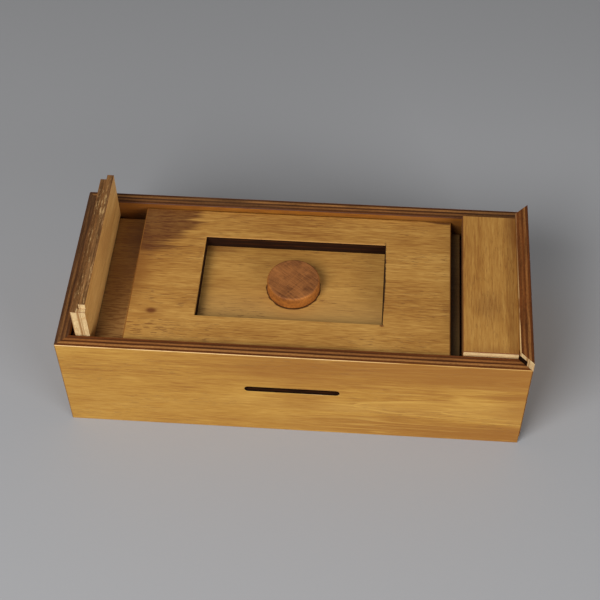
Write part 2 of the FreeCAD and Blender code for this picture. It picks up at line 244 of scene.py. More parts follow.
class Recipe:
    """Writes the nodes of one finish on the object's own coordinates, with its grain along one axis."""

    COLUMNS = 7
    ACROSS, DOWN = 220, -320

    def __init__(self, name, run=X_AXIS, shift=NO_SHIFT):
        self.run = run
        self.shift = shift
        self.material = bpy.data.materials.new(name)
        self.material.use_nodes = True
        self.tree = self.material.node_tree
        self.tree.nodes.clear()
        self.place = self.add("TexCoord").outputs["Object"]

    def add(self, kind, inputs=None, **settings):
        node = self.tree.nodes.new("ShaderNode" + kind)
        row, column = divmod(len(self.tree.nodes) - 1, self.COLUMNS)
        node.location = (self.ACROSS * column, self.DOWN * row)
        for key, value in settings.items():
            setattr(node, key, value)
        for socket, value in (inputs or {}).items():
            if isinstance(value, bpy.types.NodeSocket):
                self.tree.links.new(value, node.inputs[socket])
            else:
                node.inputs[socket].default_value = value
        return node

    def math(self, operation, *values):
        return self.add("Math", dict(enumerate(values)), operation=operation).outputs[0]

    def times(self, first, second):
        return self.math("MULTIPLY", first, second)

    def axis(self, number):
        return self.add("SeparateXYZ", {0: self.place}).outputs[number]

    def mapped(self, place, **inputs):
        return self.add("Mapping", {"Vector": place, **inputs}).outputs[0]

    def distance(self, arm):
        return self.add("VectorMath", {0: arm}, operation="LENGTH").outputs[1]

    def noise(self, place, per_metre, detail=3.0, roughness=0.5, distortion=0.0):
        inputs = {
            "Vector": place,
            "Scale": per_metre,
            "Detail": detail,
            "Roughness": roughness,
            "Distortion": distortion,
        }
        return self.add("TexNoise", inputs).outputs[0]

    def grain(self, stretch, *noise, shift=None):
        """A noise that is drawn out along the grain, so that it makes streaks."""
        scale = [1.0, 1.0, 1.0]
        scale[self.run] = 1.0 / stretch
        return self.noise(self.mapped(self.place, Location=shift or self.shift, Scale=scale), *noise)

    def between(self, value, low, high, first=0.0, last=1.0):
        """A smooth step of a value from low to high."""
        inputs = {0: value, 1: low, 2: high, 3: first, 4: last}
        return self.add("MapRange", inputs, interpolation_type="SMOOTHSTEP").outputs[0]

    def blend(self, *parts):
        """Adds up noises by their weights, about a middle of one half."""
        total = 0.5 - sum(weight for _, weight in parts) / 2
        for value, weight in parts:
            total = self.math("MULTIPLY_ADD", value, weight, total)
        return total

    def mix(self, factor, first, second, how="MIX"):
        inputs = {0: factor, 6: first, 7: second}
        return self.add("Mix", inputs, data_type="RGBA", blend_type=how).outputs[2]

    def ramp(self, value, stops):
        node = self.add("ValToRGB", {0: value})
        elements = node.color_ramp.elements
        while len(elements) < len(stops):
            elements.new(1.0)
        for element, (position, tone) in zip(elements, stops):
            element.position = position
            element.color = tone
        return node.outputs[0]

    def finish(self, tone, roughness, height, depth, specular=0.5, metallic=0.0):
        """Ends the recipe with a shader and a bump of the given depth in millimetres."""
        bump = self.add("Bump", {"Height": height, "Distance": depth * MM, "Strength": 1.0})
        inputs = {
            "Base Color": tone,
            "Roughness": roughness,
            "Metallic": metallic,
            "Specular IOR Level": specular,
            "Normal": bump.outputs[0],
        }
        shader = self.add("BsdfPrincipled", inputs)
        self.add("OutputMaterial", {"Surface": shader.outputs[0]})
        return self.material


def stained_face(name, run, tones, shift, marks=(), figure=None, pores=0.6, dashed=0.55, streaked=0.5):
    """Stained face veneer: bands, streaks and short dashes along the grain, over clouds of stain.

    marks paint tinted places, figure takes the recipe and gives the strength of the growth lines,
    pores is how dark the short pores are, and dashed and streaked are how much the short dashes and
    the long streaks show.
    """
    recipe = Recipe(name, run, shift)
    light, middle, dark = map(stain, tones)
    bands = recipe.grain(20.0, 95.0, 2.0, 0.5, 0.5)
    streaks = recipe.grain(26.0, 520.0, 4.0, 0.62, 0.4)
    dashes = recipe.grain(9.0, 1700.0, 2.0, 0.6, 0.2)
    fibres = recipe.grain(26.0, 3200.0, 2.0, 0.6)
    clouds = recipe.grain(2.2, 60.0, 3.0, 0.5, 0.4)
    tone = recipe.blend(
        (bands, 0.25), (streaks, streaked), (dashes, dashed), (fibres, 0.55), (clouds, 0.5)
    )
    wood = recipe.ramp(tone, [(0.26, dark), (0.5, middle), (0.76, light)])
    if figure:
        strength = figure(recipe)
        reddish = recipe.times(recipe.between(bands, 0.48, 0.57, 0.0, 0.7), strength)
        wood = recipe.mix(reddish, wood, dark)
        growth = recipe.math("PINGPONG", recipe.times(bands, 22.0), 1.0)
        growth = recipe.times(recipe.between(growth, 0.0, 0.3, 0.6, 0.0), strength)
        wood = recipe.mix(growth, wood, light)
    glints = recipe.between(recipe.grain(26.0, 1500.0, 2.0, 0.5, 0.2), 0.63, 0.70, 0.0, 0.45)
    wood = recipe.mix(glints, wood, light)
    for paint in marks:
        wood = paint(recipe, wood, streaks, dashes)
    holes = recipe.between(recipe.grain(9.0, 2300.0, 2.0), 0.58, 0.68)
    crowd = recipe.between(recipe.grain(3.0, 85.0, 2.0), 0.42, 0.6)
    holes = recipe.times(holes, crowd)
    wood = recipe.mix(recipe.times(holes, pores), wood, stain("fleck"))
    height = recipe.math("SUBTRACT", recipe.blend((dashes, 0.4), (fibres, 0.6)), holes)
    roughness = recipe.between(dashes, 0.3, 0.7, 0.58, 0.46)
    return recipe.finish(wood, roughness, height, 0.05, 0.35)


def grows(axis, start, end, first=0.15):
    """A growth figure that gets stronger from one place on a board to another, in millimetres."""
    return lambda recipe: recipe.between(recipe.axis(axis), start * MM, end * MM, first)


def tinted(tone, share, feather=0.3, ragged=0.6, broken=0.0, **spans):
    """An oval mark of another tone, with a rim that follows the grain.

    share is how much of the tone shows, feather is how far the rim fades inwards, ragged is how far
    the rim strays, and broken is how much plain wood shows through between the dashes of the grain.
    The spans x, y and z give the mark's middle and reach in millimetres, and the mark has no end
    along an axis that is left out.
    """

    def paint(recipe, wood, streaks, dashes):
        places = [spans.get(axis, (0.0, math.inf)) for axis in "xyz"]
        arm = recipe.mapped(
            recipe.place,
            Location=[-middle / reach for middle, reach in places],
            Scale=[1.0 / (reach * MM) for _, reach in places],
        )
        way = recipe.math("SUBTRACT", recipe.distance(arm), ragged / 2)
        way = recipe.math("MULTIPLY_ADD", streaks, ragged, way)
        inside = recipe.between(way, 1.0, 1.0 - feather, 0.0, share)
        if broken:
            filled = recipe.between(dashes, 0.42 + 0.1 * broken, 0.6, 1.0 - broken)
            inside = recipe.times(inside, filled)
        return recipe.mix(inside, wood, stain(tone))

    return paint


def flame(tone, share, tip_x, tip_z, flare):
    """A flame of flat-sawn grain, that opens along x from its tip between two light growth lines.

    The tip is in millimetres, and flare is the half height that it has reached a metre past its tip.
    """
    tip_x *= MM
    tip_z *= MM

    def paint(recipe, wood, streaks, dashes):
        x, _, z = recipe.add("SeparateXYZ", {0: recipe.place}).outputs
        wander = recipe.grain(6.0, 130.0, 2.0, shift=NO_SHIFT)
        level = recipe.math("SUBTRACT", z, tip_z + 1.5 * MM)
        level = recipe.math("MULTIPLY_ADD", wander, 3 * MM, level)
        run = recipe.math("MAXIMUM", recipe.math("SUBTRACT", x, tip_x), 0.0)
        open_to = recipe.times(recipe.math("SQRT", run), flare)
        rim = recipe.math("SUBTRACT", recipe.math("ABSOLUTE", level), open_to)
        wood = recipe.mix(recipe.between(rim, 0.0, -1 * MM, 0.0, 0.3 * share), wood, stain(tone))
        line = recipe.between(recipe.math("ABSOLUTE", rim), 0.2 * MM, 0.7 * MM, share, 0.0)
        line = recipe.times(line, recipe.between(x, tip_x - 14 * MM, tip_x))
        line = recipe.times(line, recipe.between(streaks, 0.35, 0.6, 0.35))
        return recipe.mix(line, wood, stain(tone))

    return paint


def ply_depth(recipe, layers, wobble):
    """How deep a point lies in a board, from 0 at its outer face to 1, with a slight wander.

    layers are the axis through the board and the places of its outer and inner faces.
    """
    axis, outer, inner = layers
    inputs = {0: recipe.axis(axis), 1: outer, 2: inner}
    depth = recipe.add("MapRange", inputs, clamp=False).outputs[0]
    depth = recipe.math("SUBTRACT", depth, wobble / 2)
    return recipe.math("MULTIPLY_ADD", recipe.grain(6.0, 260.0, 2.0), wobble, depth)


def stained_edge(
    name, layers, run, plain=0.0, chips=0.0, brown="edge_mid", face_ply="edge_dark"
):
    """Sawn edge of the plywood: five plies that took the stain more or less darkly.

    plain is how far the plies sink into one brown, chips is the share of the edge that has
    splintered to bare wood, and face_ply is the tone of the outermost ply.
    """
    recipe = Recipe(name, run)
    dark, middle, light = map(stain, ("edge_dark", "edge_mid", "edge_light"))
    first = stain(face_ply)
    dim = [(one + other) / 2 for one, other in zip(light, middle)]
    plies = [
        (0.0, first), (0.12, first), (0.20, dark), (0.25, light), (0.38, light), (0.43, dark),
        (0.54, dark), (0.60, dim), (0.71, dim), (0.77, dark), (1.0, middle),
    ]
    wood = recipe.ramp(ply_depth(recipe, layers, 0.08), plies)
    fading = recipe.grain(8.0, 140.0, 3.0, 0.6, shift=(0.7, 0.2, 0.4))
    fading = recipe.between(fading, 0.35, 0.7, plain, min(plain + 0.5, 1.0))
    wood = recipe.mix(fading, wood, stain(brown))
    streaks = recipe.grain(18.0, 1500.0, 4.0, 0.65)
    dots = recipe.grain(3.0, 2600.0, 3.0, 0.6)
    tone = recipe.blend((streaks, 1.1 + plain), (dots, 0.7))
    shade = recipe.ramp(tone, [(0.25, (0.5, 0.45, 0.4, 1.0)), (0.8, (1.2, 1.15, 1.1, 1.0))])
    wood = recipe.mix(1.0, wood, shade, "MULTIPLY")
    if chips:
        torn = recipe.grain(8.0, 1500.0, 4.0, 0.7, shift=(0.3, 0.1, 0.2))
        torn = recipe.between(torn, 0.72 - chips, 0.82 - chips, 0.0, 0.52)
        wood = recipe.mix(torn, wood, stain("worn"))
    height = recipe.blend((streaks, 0.8), (dots, 0.5))
    return recipe.finish(wood, 0.7, height, 0.12, 0.18)


def char_and_shade_edge(name, layers, run):
    """Edge that the saw burnt nearly black, with a trace of its plies; also used as painted shade in the
    end boards' grooves and on the knob's underside.
    """
    recipe = Recipe(name, run)
    soot, ember = stain("charred"), stain("edge_dark")
    plies = [(0.15, soot), (0.24, ember), (0.33, soot), (0.5, soot), (0.59, ember), (0.68, soot)]
    trace = recipe.ramp(ply_depth(recipe, layers, 0.1), plies)
    streaks = recipe.grain(12.0, 1500.0, 4.0, 0.65)
    wood = recipe.mix(recipe.between(streaks, 0.3, 0.65, 0.35), trace, soot)
    return recipe.finish(wood, 0.8, streaks, 0.12, 0.08)


def bare_edge(name, layers, run, browned_below=None):
    """Unstained end of a board: pale plies between thin brown glue lines, slightly splintered.

    Below a given height it is brown, with a ragged rim.
    """
    recipe = Recipe(name, run)
    pale, line = stain("bare_light"), stain("bare_line")
    plies = [
        (0.0, pale), (0.3, pale), (0.36, line), (0.42, pale), (0.47, line), (0.56, line),
        (0.62, pale), (0.9, pale), (1.0, line),
    ]
    wood = recipe.ramp(ply_depth(recipe, layers, 0.12), plies)
    splinters = recipe.grain(5.0, 1900.0, 4.0, 0.7)
    wood = recipe.mix(recipe.between(splinters, 0.35, 0.7, 0.5, 0.0), wood, line)
    smears = recipe.between(recipe.noise(recipe.place, 210.0, 3.0, 0.6), 0.5, 0.72, 0.0, 0.45)
    wood = recipe.mix(smears, wood, stain("edge_light"))
    if browned_below:
        height = recipe.math("MULTIPLY_ADD", splinters, 2 * MM, recipe.axis(Z_AXIS))
        browning = recipe.between(height, browned_below + 1 * MM, browned_below, 0.0, 0.9)
        wood = recipe.mix(browning, wood, stain("edge_mid"))
    return recipe.finish(wood, 0.78, splinters, 0.2, 0.25)


def bare_face(name, run, shift):
    """Unstained plywood of the boards inside the box."""
    recipe = Recipe(name, run, shift)
    pale, line = stain("inner_light"), stain("inner_dark")
    streaks = recipe.grain(16.0, 230.0, 4.0, 0.6, 0.6)
    lines = recipe.grain(16.0, 1100.0, 4.0, 0.6)
    clouds = recipe.noise(recipe.place, 40.0, 2.0)
    tone = recipe.blend((streaks, 0.7), (lines, 0.6), (clouds, 0.4))
    wood = recipe.ramp(tone, [(0.25, line), (0.75, pale)])
    pores = recipe.between(recipe.grain(8.0, 1300.0, 2.0), 0.62, 0.7, 0.0, 0.45)
    wood = recipe.mix(pores, wood, line)
    return recipe.finish(wood, 0.72, lines, 0.1, 0.3)


def worn_edge(name, run, base, share, fade=None):
    """Sanded edge where the stain is rubbed through in places, more or less of it by share.

    fade gives the places along the edge, in millimetres, between which the wear dies down.
    """
    recipe = Recipe(name, run)
    rubbed = recipe.grain(9.0, 420.0, 4.0, 0.65)
    rubbed = recipe.between(rubbed, 0.75 - 0.5 * share, 0.95 - 0.5 * share)
    if fade:
        start, end = fade
        left_over = recipe.between(recipe.axis(run), start * MM, end * MM, 1.0, 0.25)
        rubbed = recipe.times(rubbed, left_over)
    speckle = recipe.grain(4.0, 2400.0, 3.0, 0.6)
    wood = recipe.mix(rubbed, stain(base), stain("worn"))
    wood = recipe.mix(recipe.between(speckle, 0.55, 0.75, 0.0, 0.35), wood, stain("fleck"))
    return recipe.finish(wood, 0.5, speckle, 0.05, 0.4)


def knob_finish(name, centre, tones, marks=()):
    """Red-brown turned wood: grain slantwise across the disc, pores, and the lathe's fine rings."""
    recipe = Recipe(name)
    light, dark = map(stain, tones)
    slant = (0.0, 0.0, math.radians(38))
    turned = recipe.mapped(recipe.place, Location=(-centre.x, -centre.y, 0.0), Rotation=slant)
    along = recipe.mapped(turned, Scale=(0.1, 1.0, 0.35))
    streaks = recipe.noise(along, 420.0, 4.0, 0.6, 0.6)
    lines = recipe.noise(along, 1900.0, 4.0, 0.65)
    clouds = recipe.noise(turned, 130.0)
    tone = recipe.blend((streaks, 0.6), (lines, 0.9), (clouds, 0.9))
    wood = recipe.ramp(tone, [(0.25, dark), (0.75, light)])
    for paint in marks:
        wood = paint(recipe, wood, streaks, lines)
    scratches = recipe.noise(recipe.mapped(turned, Scale=(1.0, 0.06, 0.35)), 2200.0, 2.0)
    wood = recipe.mix(recipe.between(scratches, 0.52, 0.64, 0.0, 0.4), wood, light)
    pores = recipe.noise(recipe.mapped(turned, Scale=(0.22, 1.0, 0.5)), 2300.0, 2.0)
    pores = recipe.between(pores, 0.58, 0.68)
    wood = recipe.mix(recipe.times(pores, 0.35), wood, stain("edge_dark"))
    inputs = {0: turned, 1: (1.0, 1.0, 0.0)}
    radius = recipe.distance(recipe.add("VectorMath", inputs, operation="MULTIPLY").outputs[0])
    rings = recipe.math("SINE", recipe.times(radius, 9500.0))
    height = recipe.blend((lines, 0.7), (rings, 0.12), (pores, -0.6))
    roughness = recipe.between(lines, 0.3, 0.7, 0.72, 0.58)
    return recipe.finish(wood, roughness, height, 0.08, 0.3)


def steel_finish(name, centre):
    """Zinc-plated steel with the fine rings of its turning."""
    recipe = Recipe(name)
    arm = recipe.mapped(recipe.place, Location=(-centre.x, -centre.y, 0.0))
    rings = recipe.math("SINE", recipe.times(recipe.distance(arm), 26000.0))
    dull = recipe.noise(recipe.place, 1300.0, 3.0, 0.6)
    zinc = stain("steel")
    tone = recipe.mix(recipe.between(dull, 0.35, 0.7), zinc, dimmed(zinc, 0.7))
    roughness = recipe.between(dull, 0.3, 0.7, 0.28, 0.46)
    return recipe.finish(tone, roughness, rings, 0.01, metallic=1.0)


def floor_finish(name):
    """Matt grey board with the faintest unevenness, and painted shade that darkens it towards its far side.
    """
    recipe = Recipe(name)
    grey = linear(bpy.context.scene.puzzle_box_studio.floor)
    cloud = recipe.between(recipe.noise(recipe.place, 3.0, 4.0), 0.3, 0.7, 0.0, 0.06)
    tone = recipe.mix(cloud, grey, (0.5, 0.5, 0.5, 1.0))
    # Painted shade: the floor darkens towards its far side, as the lamps' light falls off.
    far = recipe.between(recipe.axis(Y_AXIS), 60 * MM, 260 * MM, 0.0, 0.2)
    tone = recipe.mix(far, tone, dimmed(grey, 0.5))
    grit = recipe.noise(recipe.place, 900.0, 3.0, 0.6)
    return recipe.finish(tone, recipe.between(grit, 0.3, 0.7, 0.62, 0.72), grit, 0.02, 0.2)


WALL_MARKS = (
    tinted("wall_dark", 0.65, 0.8, 1.0, x=(-4, 46), z=(42, 16)),
    tinted("wall_dark", 0.8, 0.8, 1.2, x=(75, 105), z=(42, 13)),
    tinted("wall_dark", 0.7, 0.9, 1.2, x=(88, 50), z=(6, 9)),
    tinted("wall_light", 0.5, 0.9, 1.0, x=(25, 24), z=(18, 6)),
    flame("wall_light", 0.9, 24, 20, 0.029),
    flame("wall_light", 0.7, 58, 19, 0.02),
    tinted("wall_dark", 0.8, 0.8, 1.0, x=(88, 24), z=(31, 3)),
    tinted("wall_dark", 0.6, 0.9, 1.0, x=(92, 22), z=(22, 16)),
)
# Painted shade and painted light on the walls' inner faces.
INSIDE_SHADE_AND_LIGHT = (
    # Painted shade darkening the left part of the inner face.
    tinted("inside_dark", 0.6, 0.9, x=(-70, 46), z=(46, 14)),
    # Painted light: a lighter pool on the right part of the inner face.
    tinted("lid_dark", 0.75, 0.9, x=(48, 24), z=(46, 9)),
    # Painted shadow on the inner face behind the gap beside the end strip.
    tinted("charred", 0.6, 0.7, x=(62, 4.5), z=(39, 10)),
    # Painted shadow on the inner face behind the pocket, next to the lid frame.
    tinted("charred", 0.7, 0.7, x=(-66, 8), z=(40, 7)),
)


# Woodwork


def pick_only(piece):
    bpy.ops.object.select_all(action="DESELECT")
    piece.select_set(True)
    bpy.context.view_layer.objects.active = piece


def settle(name):
    """Names a new primitive and puts its place into its mesh."""
    piece = bpy.context.object
    piece.name = name
    piece.data.name = name
    bpy.ops.object.transform_apply(location=True, rotation=True, scale=True)
    return piece


def add_block(name, low, high, turn=0.0):
    """A square block between two corners, turned about its own upright axis."""
    low, high = Vector(low), Vector(high)
    bpy.ops.object.select_all(action="DESELECT")
    bpy.ops.mesh.primitive_cube_add(size=1.0, location=(low + high) / 2, rotation=(0.0, 0.0, turn))
    bpy.context.object.scale = high - low
    return settle(name)


def near(value, *targets):
    return any(abs(value - target) < TOUCHING for target in targets)


def anything(*_):
    return True


def flat_at(axis, *levels):
    """A test for faces that look along an axis, at one of the levels if any are given."""
    return lambda n, c: abs(n[axis]) > SQUARE_ON and (not levels or near(c[axis], *levels))


def either(*tests):
    """A test that is passed by what passes any one of the tests."""
    return lambda *parts: any(test(*parts) for test in tests)


def on_line(**levels):
    """A test for edges whose ends both lie at the given x, y or z."""
    return lambda *ends: all(
        near(getattr(end, axis), level) for end in ends for axis, level in levels.items()
    )


@contextmanager
def editing(piece, select="FACE"):
    """Edit mode on one piece, with nothing selected in it."""
    pick_only(piece)
    bpy.ops.object.mode_set(mode="EDIT")
    bpy.ops.mesh.select_mode(type=select)
    bpy.ops.mesh.select_all(action="DESELECT")
    yield
    bpy.ops.object.mode_set(mode="OBJECT")


def pick_edges(piece, test):
    """Selects the edges that pass a test."""
    mesh = bmesh.from_edit_mesh(piece.data)
    for edge in mesh.edges:
        edge.select_set(test(edge))
    bmesh.update_edit_mesh(piece.data)


def bisect(piece, point, normal, **settings):
    """Divides a piece along a plane."""
    with editing(piece):
        bpy.ops.mesh.select_all(action="SELECT")
        bpy.ops.mesh.bisect(plane_co=point, plane_no=normal, **settings)


def saw(piece, point, normal):
    """Saws a piece through on a plane and drops what lies on the normal's side."""
    bisect(piece, point, normal, use_fill=True, clear_outer=True)


def ease_corner(piece, x, y):
    """Saws the sharp tip off an outer corner of the box."""
    way = Vector((math.copysign(1.0, x), math.copysign(1.0, y), 0.0)).normalized()
    saw(piece, Vector((x, y, 0.0)) - way * sizes().corner_easing, way)


def is_eased(normal, middle):
    """Whether a face is the slanted one that ease_corner leaves."""
    outward = normal.x * middle.x > 0.0 and normal.y * middle.y > 0.0
    slanted = abs(normal.x) > SLANTED and abs(normal.y) > SLANTED
    from_side = CAD_BOX[1][Y_AXIS] - abs(middle.y)
    from_end = CAD_BOX[1][X_AXIS] - abs(middle.x)
    return outward and slanted and from_side + from_end < 2 * sizes().corner_easing


def cut_away(piece, cutter):
    """Cuts the shape of a cutter out of a piece and throws the cutter away."""
    cut = piece.modifiers.new("cut", "BOOLEAN")
    cut.operation = "DIFFERENCE"
    cut.solver = "EXACT"
    cut.object = cutter
    bpy.context.view_layer.objects.active = piece
    bpy.ops.object.modifier_apply(modifier=cut.name)
    mesh = cutter.data
    bpy.data.objects.remove(cutter)
    bpy.data.meshes.remove(mesh)


def rout(piece, low, high, turn=0.0):
    """Cuts a square groove, notch or opening between two corners."""
    cut_away(piece, add_block("cutter", low, high, turn))


def mitred_board(node, through, outward):
    """A board with mitred ends, whose left corners are eased, and its layers.

    Its layers are the axis through the board and the places of its outer and inner faces.
    """
    along = X_AXIS + Y_AXIS - through
    low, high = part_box(node)
    outer = (low if outward < 0 else high)[through]
    board = add_block(f"{node}_board", low, high)
    for way, edge in ((-1, low[along]), (1, high[along])):
        point, normal = Vector(), Vector()
        point[through], point[along] = outer, edge
        normal[through], normal[along] = -outward, way
        saw(board, point, normal)
        if point.x < 0.0:
            ease_corner(board, point.x, point.y)
    return board, (through, outer, outer - outward * sizes().wall)


def rout_groove(board, layers, depth, low_z, high_z):
    """Cuts a level groove into a board's inner face, from end to end."""
    axis, outer, inner = layers
    outward = math.copysign(1.0, outer - inner)
    past = Vector((OVERSHOOT, OVERSHOOT, OVERSHOOT))
    low, high = Vector(CAD_BOX[0]) - past, Vector(CAD_BOX[1]) + past
    low[axis], high[axis] = sorted((inner - outward * OVERSHOOT, inner + outward * depth))
    low.z, high.z = low_z, high_z
    rout(board, low, high)


def rout_bottom_groove(board, layers):
    size = sizes()
    low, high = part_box("bottom_panel")
    play = size.bottom_play
    rout_groove(board, layers, size.bottom_groove, low.z - play, high.z + play)


def spline_corners(end, side, low_z, high_z, play=0.0):
    """The two corners of an unturned spline, and its turn, for a corner of the box."""
    size = sizes()
    half_box = Vector(CAD_BOX[1])
    inward = size.wall - size.spline_inset / math.sqrt(2)
    x, y = end * (half_box.x - inward), side * (half_box.y - inward)
    middle = Vector((x, y, (low_z + high_z) / 2))
    half = Vector(
        (size.spline_thickness / 2 + play, size.spline_reach + play, (high_z - low_z) / 2)
    )
    return middle - half, middle + half, math.radians(45) * end * side


def clean(piece):
    """Closes and squares up the mesh of a piece after its cuts."""
    with editing(piece):
        bpy.ops.mesh.select_all(action="SELECT")
        bpy.ops.mesh.remove_doubles(threshold=DOUBLED)
        bpy.ops.mesh.dissolve_degenerate(threshold=SLIVER)
        bpy.ops.mesh.normals_make_consistent(inside=False)


def dress(piece, *zones):
    """Gives each face the first finish whose test its normal and middle pass."""
    for finish, _ in zones:
        piece.data.materials.append(finish)
    for face in piece.data.polygons:
        face.material_index = next(
            i for i, (_, test) in enumerate(zones) if test(face.normal, face.center)
        )


def soften(piece, finishes, width=None, worn=None, where=anything):
    """Rounds the sharp edges between faces of the given finishes, as sandpaper does.

    where tests the two ends of an edge, and worn is the finish that the rounding gets.
    """
    slots = {i for i, finish in enumerate(piece.data.materials) if finish in finishes}
    if worn:
        piece.data.materials.append(worn)

    def is_soft(edge):
        return (
            edge.is_manifold
            and edge.calc_face_angle() > SHARP_ANGLE
            and all(face.material_index in slots for face in edge.link_faces)
            and where(*(vert.co for vert in edge.verts))
        )

    with editing(piece, "EDGE"):
        pick_edges(piece, is_soft)
        bpy.ops.mesh.bevel(
            offset=width or sizes().edge_softening,
            offset_type="OFFSET",
            segments=EDGE_STEPS,
            profile=0.5,
            affect="EDGES",
            clamp_overlap=True,
            material=len(piece.data.materials) - 1 if worn else -1,
        )


def hand_over(piece, node, body):
    """Puts a finished piece in the place of its CAD node, shaded smooth with its flat faces flat."""
    clean(piece)
    pick_only(piece)
    bpy.ops.object.shade_smooth_by_angle(angle=SMOOTH_ANGLE)
    even = piece.modifiers.new("even", "WEIGHTED_NORMAL")
    even.keep_sharp = True
    bpy.ops.object.modifier_apply(modifier=even.name)
    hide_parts(node)
    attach(piece, body)


def cut_coin_slot(wall, outer, inner):
    """A round-ended slot: a block whose upright ends are bevelled round, pushed through the wall."""
    size = sizes()
    half = Vector((size.slot_length / 2, size.wall, size.slot_height / 2))
    middle = Vector((0.0, (outer + inner) / 2, size.slot_level))
    cutter = add_block("slot_cutter", middle - half, middle + half)

    def runs_through(edge):
        one, other = (vert.co for vert in edge.verts)
        return near(one.x, other.x) and near(one.z, other.z)

    with editing(cutter, "EDGE"):
        pick_edges(cutter, runs_through)
        just_under_half = 0.499 * size.slot_height
        bpy.ops.mesh.bevel(offset=just_under_half, segments=SLOT_END_STEPS, affect="EDGES")
    cut_away(wall, cutter)


def is_in_slot(normal, middle):
    size = sizes()
    across = abs(middle.x) < OVER_HALF * size.slot_length
    level = abs(middle.z - size.slot_level) < OVER_HALF * size.slot_height
    return across and level and not flat_at(Y_AXIS)(normal, middle)


class PUZZLEBOX_OT_long_walls(bpy.types.Operator):
    """Make the front wall with its coin slot, and the back wall"""

    bl_idname = "puzzle_box.long_walls"
    bl_label = "Front and Back Walls"

    def execute(self, context):
        self.make("front_wall", FRONT, plain=-0.3, brown="edge_mid", face_ply="edge_mid")
        self.make("back_wall", BACK, plain=0.2, brown="edge_worn", face_ply="edge_dark")
        return {"FINISHED"}

    def make(self, node, side, plain, brown, face_ply):
        """A wall with mitred ends, grooved for the bottom board and for the splines."""
        low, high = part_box(node)
        wall, layers = mitred_board(node, Y_AXIS, side)
        name, (_, outer, inner) = wall.name, layers
        rout_bottom_groove(wall, layers)
        spline_low, spline_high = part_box("front_left_spline")
        for end in (LEFT, RIGHT):
            rout(wall, *spline_corners(end, side, spline_low.z, spline_high.z))

        shift, inside_shift = (0.31, 0.07 * side, 0.12), (0.4, 0.2 * side, 0.3)
        face = stained_face(
            f"{name}_stained_face",
            X_AXIS,
            WALL_STAIN,
            shift,
            WALL_MARKS,
            grows(X_AXIS, -20, 35),
            pores=0.3,
            dashed=0.3,
            streaked=0.35,
        )
        inside = stained_face(f"{name}_inner_face", X_AXIS, INSIDE_STAIN, inside_shift, INSIDE_SHADE_AND_LIGHT)
        edge = stained_edge(f"{name}_ply_edge", layers, X_AXIS, plain, 0.0, brown, face_ply)
        mitre = bare_edge(f"{name}_bare_mitre", layers, Z_AXIS)
        zones = [
            (face, either(flat_at(Y_AXIS, outer), is_eased)),
            (inside, flat_at(Y_AXIS, inner)),
            (edge, flat_at(Z_AXIS, low.z, high.z)),
            (mitre, anything),
        ]
        soft = [face, inside, edge]
        if side == FRONT:
            cut_coin_slot(wall, outer, inner)
            slot = char_and_shade_edge(f"{name}_charred_slot", layers, X_AXIS)
            zones.insert(0, (slot, is_in_slot))
            soft.append(slot)
        clean(wall)
        dress(wall, *zones)
        if side == FRONT:
            self.wear_and_highlight_front(wall, face, slot, soft, on_line(y=outer, z=high.z))
        else:
            rubbed = worn_edge(f"{name}_rubbed_arris", X_AXIS, "edge_dark", 0.0)
            soften(wall, soft, worn=rubbed, where=on_line(y=inner, z=high.z))
        soften(wall, soft, worn=worn_edge(f"{name}_worn_edge", X_AXIS, "edge_mid", 0.0))
        hand_over(wall, node, "box")

    @staticmethod
    def wear_and_highlight_front(wall, face, slot, soft, top_edge):
        """Rubs the slot's rim pale, and the front wall's top edge pale with wear and a painted highlight.
        """
        size = sizes()
        rim = worn_edge(f"{wall.name}_slot_rim", X_AXIS, "wall_light", 0.4)
        soften(
            wall,
            (face, slot),
            size.rim_softening,
            rim,
            lambda *ends: all(abs(end.z - size.slot_level) < size.slot_height for end in ends),
        )
        # The front top edge is worn and also painted as a highlight line, brightest along its left part.
        pale = worn_edge(f"{wall.name}_worn_and_highlit_arris", X_AXIS, "wall_mid", 0.95, (0, 60))
        soften(wall, soft, size.front_arris, pale, top_edge)


